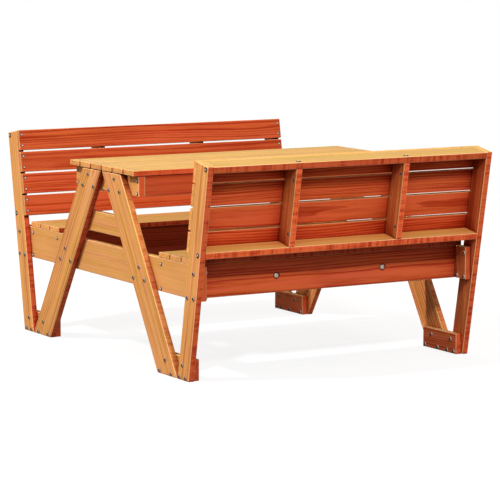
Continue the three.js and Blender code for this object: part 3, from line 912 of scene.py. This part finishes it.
class PICNIC_OT_backrest_frames(Making, bpy.types.Operator):
    """Finish the backrests' rails and dividers"""

    bl_idname = "picnic_table.backrest_frames"
    bl_label = "Backrest Frames"

    def build(self, context):
        seeds = itertools.count(47.0)
        for side_name, side in SIDES.items():
            # Painted light and shade: the bottom rails and the dividers are lightened and given a share of
            # the russet shade tone
            for rail, ruddy, tint in (("top", 0.0, 0.95), ("bottom", 0.1, 1.25)):
                node = f"backrest_rail_{side_name}_{rail}"
                dress_board(node, ALONG, slope_up(side), next(seeds), ruddy=ruddy, tint=tint)
            for end in ENDS:
                node = f"backrest_divider_{side_name}_{end}"
                dress_board(node, slope_up(side), ALONG, next(seeds), ruddy=0.3, tint=1.45)


def slat_row(slat, count, width, gap, turn, seed, **look):
    """A row of slats that stands for the nodes numbered from one to the count, in their place."""
    settings = bpy.context.scene.picnic_slats
    name = slat.replace("slat", "slats")
    nodes = [f"{slat}_{i}" for i in range(1, count + 1)]
    low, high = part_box(nodes[0])
    tree = bpy.data.node_groups.get("Row of slats") or slat_tree()
    piece = grown(name, tree, {
        "Count": count,
        "Length": high.x - low.x,
        "Width": width,
        "Thickness": settings.thickness,
        "Gap": gap,
        "Edge Radius": settings.edge_radius,
        "Middle": tuple(middle(*nodes)),
        "Turn": tuple(turn),
        "Material": wood(f"{name}_wood", turn, seed=seed, **look),
    })
    settle(piece, "slat_wood", *nodes)


class PICNIC_OT_tabletop(Making, bpy.types.Operator):
    """Make the tabletop's slats"""

    bl_idname = "picnic_table.tabletop"
    bl_label = "Tabletop Slats"

    def build(self, context):
        gap = context.scene.picnic_slats.table_gap
        slat_row("tabletop_slat", 6, NARROW_BOARD, gap, Euler(), 61.0, flame=0.35, tint=0.97)


class PICNIC_OT_seats(Making, bpy.types.Operator):
    """Make the two seats' slats"""

    bl_idname = "picnic_table.seats"
    bl_label = "Seat Slats"

    def build(self, context):
        gap = context.scene.picnic_slats.seat_gap
        for side_name, side in SIDES.items():
            # Painted light: the back seat is made lighter than the front one
            slat_row(f"seat_slat_{side_name}", 3, NARROW_BOARD, gap, Euler(), 67.0 + side,
                     tint=1.06 + 0.1 * side)


class PICNIC_OT_backrests(Making, bpy.types.Operator):
    """Make the two backrests' slats"""

    bl_idname = "picnic_table.backrests"
    bl_label = "Backrest Slats"

    def build(self, context):
        gap = context.scene.picnic_slats.back_gap
        for side_name, side in SIDES.items():
            turn = Euler((math.radians(90) - side * POST_LEAN, 0, 0))
            # Painted shade: the back backrest's slats are made darker than the front ones
            slat_row(f"backrest_slat_{side_name}", 4, BACK_SLAT, gap, turn, 75.0 + side, sheen=0.02,
                     tint=0.98 - 0.14 * side)


class PICNIC_OT_frame_bolts(Making, bpy.types.Operator):
    """Set the bolts that hold the end frames together"""

    bl_idname = "picnic_table.frame_bolts"
    bl_label = "Frame Bolts"

    def build(self, context):
        settings = context.scene.picnic_fasteners
        tree = fastener_tree("Frame bolt", BOLT_INPUTS, bolt_rings)
        piece = grown("frame_bolts", tree, {
            "Head Radius": settings.bolt_head,
            "Head Height": settings.bolt_rise,
            "Shank Radius": settings.bolt_shank,
            "Grip": END_FACE - INNER_FACE,
            "Material": steel("bolt_steel"),
        }, marked_points("frame_bolt_points", frame_bolt_seats()))
        settle(piece, "fastener_steel")


class PICNIC_OT_screws(Making, bpy.types.Operator):
    """Set the screws in the slats, the ties, the aprons and the backrest frames"""

    bl_idname = "picnic_table.screws"
    bl_label = "Screws"

    def build(self, context):
        settings = context.scene.picnic_fasteners
        plated = steel("screw_steel")
        sunk = fastener_tree("Sunk screw", SCREW_INPUTS, sunk_screw_rings)
        domed = fastener_tree("Domed screw", SCREW_INPUTS, domed_screw_rings)
        nut = fastener_tree("Barrel nut", SCREW_INPUTS, barrel_nut_rings)
        # Name, tree, places, head radius, head height or depth, length, and how much of the head is free of
        # painted shade
        groups = (
            ("slat_screws", sunk, slat_screw_seats(), settings.screw_head, 0.0024, 0.025, 0.0),
            ("tie_screws", sunk, tie_screw_seats(), settings.screw_head, 0.0024, 0.034, 0.0),
            ("end_screws", domed, end_screw_seats(), settings.screw_head * 1.3, 0.0028, 0.048, 0.62),
            ("backrest_bolts", domed, backrest_bolt_seats(), settings.button_head, 0.0022, 0.048, 0.36),
            ("barrel_nuts", nut, barrel_nut_seats(), settings.barrel_nut, 0.0, 0.013, 0.0),
        )
        for name, tree, seats, head, rise, length, unshaded in groups:
            piece = grown(name, tree, {
                "Head Radius": head,
                "Head Height": rise,
                "Shank Radius": settings.screw_shank,
                "Length": length,
                "Clean Share": unshaded,
                "Material": plated,
            }, marked_points(f"{name}_points", seats))
            settle(piece, "fastener_steel")


class PICNIC_OT_seat_bolts(Making, bpy.types.Operator):
    """Finish the bolts of the seat aprons"""

    bl_idname = "picnic_table.seat_bolts"
    bl_label = "Seat Bolts"

    def build(self, context):
        for side in SIDES:
            for end in ENDS:
                node = f"seat_bolt_{side}_{end}"
                dress(node, steel(f"{node}_steel", middle(node)))


class PICNIC_OT_stage(Making, bpy.types.Operator):
    """Set up the floor, the soft studio light and the camera"""

    bl_idname = "picnic_table.stage"
    bl_label = "Stage"

    def build(self, context):
        scene = context.scene
        settings = scene.picnic_stage
        self.floor(scene, settings)
        self.world(scene, settings)
        self.lamp(scene, "key_light", (-4.3, 0.1, 5.2), 0.5, settings.key)
        self.lamp(scene, "fill_light", (-1.0, -4.8, 4.1), 0.8, settings.fill)
        self.lamp(scene, "rear_light", (1.2, 5.2, 2.9), 2.4, settings.rear, glossy=False)
        self.camera(scene, settings)
        scene.view_settings.view_transform = "Standard"

    def floor(self, scene, settings):
        mesh = bpy.data.meshes.new("floor")
        reach, drop = 14.0, 0.0002
        corners = [(-reach, -reach, 0), (reach, -reach, 0), (reach, reach, 0), (-reach, reach, 0)]
        mesh.from_pydata(corners, [], [(0, 1, 2, 3)])
        floor = bpy.data.objects.new("floor", mesh)
        floor.location.z = -drop
        scene.collection.objects.link(floor)
        material, start = new_material("floor_paint")
        seen = start.node("ShaderNodeLightPath", output="Is Camera Ray")
        paint = seen.blend(tuple(FLOOR_BOUNCE * part for part in settings.floor), settings.floor)
        painted = start.node("ShaderNodeBsdfDiffuse", {"Color": paint})
        white = start.node("ShaderNodeEmission", {"Color": colour(WHITE), "Strength": 1.0})
        x, y, _ = start.node("ShaderNodeTexCoord", output="Object").split()
        glow = 0.85 + (x * x + y * y).root().ramp(1.2, 4.0) * 0.15
        lit = start.node("ShaderNodeMixShader", {0: seen * glow, 1: painted, 2: white})
        start.node("ShaderNodeOutputMaterial", {"Surface": lit})
        mesh.materials.append(material)
        floor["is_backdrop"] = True

    def world(self, scene, settings):
        world = bpy.data.worlds.new("studio")
        world.use_nodes = True
        world.node_tree.nodes.clear()
        start = Wire(world.node_tree)
        seen = start.node("ShaderNodeLightPath", output="Is Camera Ray")
        _, _, height = start.node("ShaderNodeTexCoord", output="Generated").split()
        soft = settings.ambient * (0.35 + 0.9 * height.ramp(0.0, 0.75))
        clear = seen.larger(seen.other("Is Transmission Ray"))
        strength = clear + (1.0 - clear) * soft
        sky = start.node("ShaderNodeBackground", {"Color": clear.blend(WARM, WHITE), "Strength": strength})
        start.node("ShaderNodeOutputWorld", {"Surface": sky})
        scene.world = world

    def lamp(self, scene, name, place, size, power, glossy=True):
        data = bpy.data.lights.new(name, "AREA")
        data.shape = "DISK"
        data.size = size
        data.energy = power
        lamp = bpy.data.objects.new(name, data)
        lamp.location = place
        lamp.visible_glossy = glossy
        aim = LAMPS_AIM - Vector(place)
        lamp.rotation_euler = aim.to_track_quat("-Z", "Y").to_euler()
        scene.collection.objects.link(lamp)

    def camera(self, scene, settings):
        outward = math.cos(VIEW_ELEVATION)
        back = Vector((math.sin(VIEW_AZIMUTH) * outward, -math.cos(VIEW_AZIMUTH) * outward,
                       math.sin(VIEW_ELEVATION)))
        level = (-back).cross(UP).normalized()
        upright = level.cross(-back)
        right = level * math.cos(VIEW_ROLL) + upright * math.sin(VIEW_ROLL)
        up = upright * math.cos(VIEW_ROLL) - level * math.sin(VIEW_ROLL)
        data = bpy.data.cameras.new("camera")
        data.lens = settings.lens
        data.sensor_width = 36.0
        data.shift_x, data.shift_y = VIEW_SHIFT
        camera = bpy.data.objects.new("camera", data)
        place = VIEW_CENTRE + back * VIEW_DISTANCE
        camera.matrix_world = Matrix.Translation(place) @ Matrix((right, up, back)).transposed().to_4x4()
        scene.collection.objects.link(camera)
        scene.camera = camera


class PICNIC_PT_sidebar(bpy.types.Panel):
    """The table's pieces and settings"""

    bl_idname = "PICNIC_PT_sidebar"
    bl_label = "Picnic Table"
    bl_space_type = "VIEW_3D"
    bl_region_type = "UI"
    bl_category = "Picnic Table"

    def draw(self, context):
        for title, name, group in SETTINGS:
            box = self.layout.box()
            box.label(text=title)
            settings = getattr(context.scene, name)
            for prop in group.__annotations__:
                box.prop(settings, prop)
        for operator in OPERATORS:
            self.layout.operator(operator.bl_idname)


SETTINGS = (
    ("Wood", "picnic_wood", WoodSettings),
    ("Slats", "picnic_slats", SlatSettings),
    ("Fasteners", "picnic_fasteners", FastenerSettings),
    ("Stage", "picnic_stage", StageSettings),
)
OPERATORS = (
    PICNIC_OT_frame_boards,
    PICNIC_OT_aprons,
    PICNIC_OT_backrest_frames,
    PICNIC_OT_tabletop,
    PICNIC_OT_seats,
    PICNIC_OT_backrests,
    PICNIC_OT_frame_bolts,
    PICNIC_OT_screws,
    PICNIC_OT_seat_bolts,
    PICNIC_OT_stage,
)


def register():
    for _, name, group in SETTINGS:
        bpy.utils.register_class(group)
        setattr(bpy.types.Scene, name, PointerProperty(type=group))
    for operator in OPERATORS:
        bpy.utils.register_class(operator)
    bpy.utils.register_class(PICNIC_PT_sidebar)


def unregister():
    bpy.utils.unregister_class(PICNIC_PT_sidebar)
    for operator in reversed(OPERATORS):
        bpy.utils.unregister_class(operator)
    for _, name, group in reversed(SETTINGS):
        delattr(bpy.types.Scene, name)
        bpy.utils.unregister_class(group)


def main():
    register()
    for operator in OPERATORS:
        area, call = operator.bl_idname.split(".")
        getattr(getattr(bpy.ops, area), call)()
    boxes = {"cad": (cad_low, cad_high), "visual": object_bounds()}
    {name: [list(corner) for corner in box] for name, box in boxes.items()}


if __name__ == "__main__":
    main()
